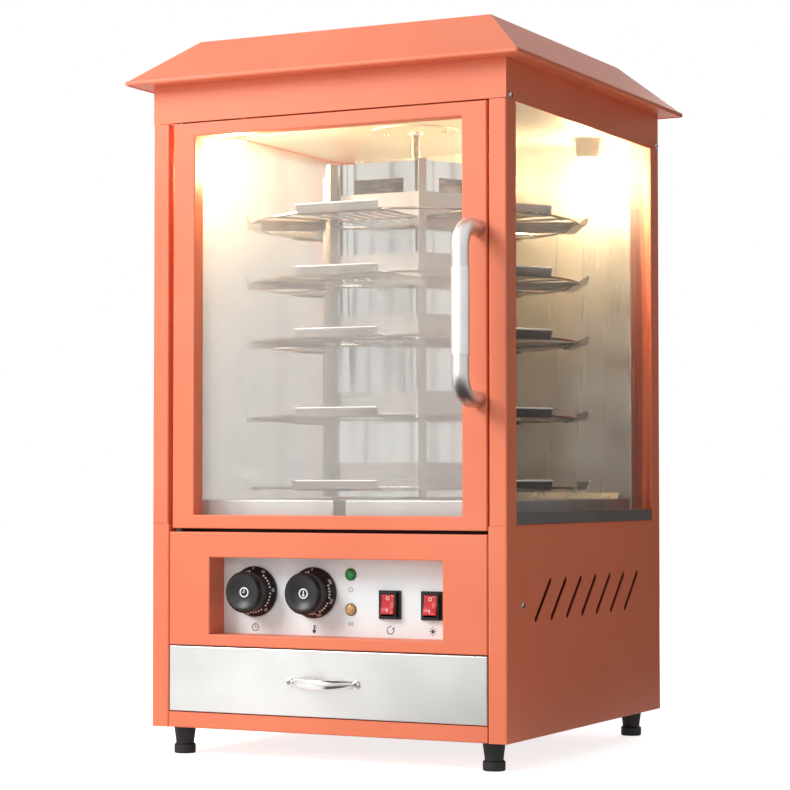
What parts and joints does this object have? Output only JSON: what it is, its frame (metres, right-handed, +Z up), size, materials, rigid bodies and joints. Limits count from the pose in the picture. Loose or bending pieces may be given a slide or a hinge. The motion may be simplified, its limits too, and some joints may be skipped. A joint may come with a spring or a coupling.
{
  "type": "sweet potato roaster",
  "caption": "Table-top electric roaster: glazed sheet-metal cabinet with a hipped roof, hinged glass door, turning carousel of wire shelves, recessed controls and a crumb drawer.",
  "frame": {"origin": "on the floor between the four feet, under the carousel's axis", "axes": "+Z up, the door and the controls face -Y, +X to the right as seen from the front"},
  "size_m": [0.5, 0.5502, 0.833],
  "materials": {
    "paint": "satin powder coat",
    "stainless": "brushed",
    "mirror_steel": "polished sheet",
    "chrome": "polished",
    "bright_steel": "turned, zinc plated",
    "brass": "turned",
    "motor_metal": "die cast",
    "clear_glass": "clear toughened",
    "bulb_glass": "clear, warm",
    "ceramic": "glazed",
    "white_plate": "satin white",
    "black_plastic": "moulded",
    "red_plastic": "moulded",
    "lens": "translucent, one green and one amber",
    "channel_grey": "matt extrusion"
  },
  "bodies": {
    "cabinet": {"base_pan": "paint", "right_lower_side": "paint", "left_lower_side": "paint", "lower_rear_panel": "paint", "upper_rear_panel": "paint", "control_fascia": "paint", "right_side_frame": "paint", "left_side_frame": "paint", "header_panel": "paint", "roof_shell": "paint", "roof_soffit": "paint", "drawer_runners": "stainless", "chamber_floor": "stainless", "floor_plates": "stainless", "ceiling_plate": "stainless", "rear_liner": "stainless", "motor_bracket": "stainless", "upper_shaft_bearing": "stainless", "heater_tubes": "stainless", "cabinet_screws": "bright_steel", "hinge_bushes": "brass", "lower_shaft_bearing": "brass", "gear_motor": "motor_metal", "side_glasses": "clear_glass", "lamp_bulbs": "bulb_glass", "lamp_holders": "ceramic", "control_plate": "white_plate", "switch_bodies": "black_plastic", "cable_gland": "black_plastic", "timer_unit": "black_plastic", "thermostat_unit": "black_plastic", "feet": "black_plastic", "door_magnet": "black_plastic", "indicator_lamps": "lens", "glass_channels": "channel_grey"},
    "door": {"door_frame": "paint", "door_glass": "clear_glass", "glass_retainer": "paint", "hinge_pins": "bright_steel", "door_handle": "chrome", "handle_grip": "stainless"},
    "drawer": {"drawer_front": "stainless", "drawer_box": "stainless", "drawer_pull": "chrome", "pull_screws": "bright_steel"},
    "carousel": {"motor_spindle": "bright_steel", "shaft_coupling": "bright_steel", "drive_shaft": "bright_steel", "hex_drum": "mirror_steel", "drum_end_plates": "bright_steel", "shelf_1": "chrome", "shelf_2": "chrome", "shelf_3": "chrome", "shelf_4": "chrome", "shelf_5": "chrome", "shelf_lips": "chrome"},
    "timer_knob": {"timer_knob": "black_plastic"},
    "thermostat_knob": {"thermostat_knob": "black_plastic"},
    "rotation_rocker": {"rotation_rocker": "red_plastic"},
    "lighting_rocker": {"lighting_rocker": "red_plastic"}
  },
  "joints": [
    {"name": "door_hinge", "type": "hinge", "parent": "cabinet", "child": "door", "pos_m": [-0.191, -0.2285, 0.495], "axis": [0, 0, -1], "range_deg": [0, 110]},
    {"name": "drawer_slide", "type": "slide", "parent": "cabinet", "child": "drawer", "axis": [0, -1, 0], "range_m": [0, 0.3]},
    {"name": "carousel_turn", "type": "hinge", "parent": "cabinet", "child": "carousel", "pos_m": [0, 0, 0.48], "axis": [0, 0, 1], "continuous": true},
    {"name": "timer_turn", "type": "hinge", "parent": "cabinet", "child": "timer_knob", "pos_m": [-0.106, -0.202, 0.1885], "axis": [0, 1, 0], "range_deg": [0, 330]},
    {"name": "thermostat_turn", "type": "hinge", "parent": "cabinet", "child": "thermostat_knob", "pos_m": [-0.029, -0.202, 0.1885], "axis": [0, 1, 0], "range_deg": [0, 300]},
    {"name": "rotation_switch", "type": "hinge", "parent": "cabinet", "child": "rotation_rocker", "pos_m": [0.068, -0.205, 0.177], "axis": [1, 0, 0], "range_deg": [0, 17]},
    {"name": "lighting_switch", "type": "hinge", "parent": "cabinet", "child": "lighting_rocker", "pos_m": [0.1205, -0.205, 0.177], "axis": [1, 0, 0], "range_deg": [0, 17]}
  ]
}
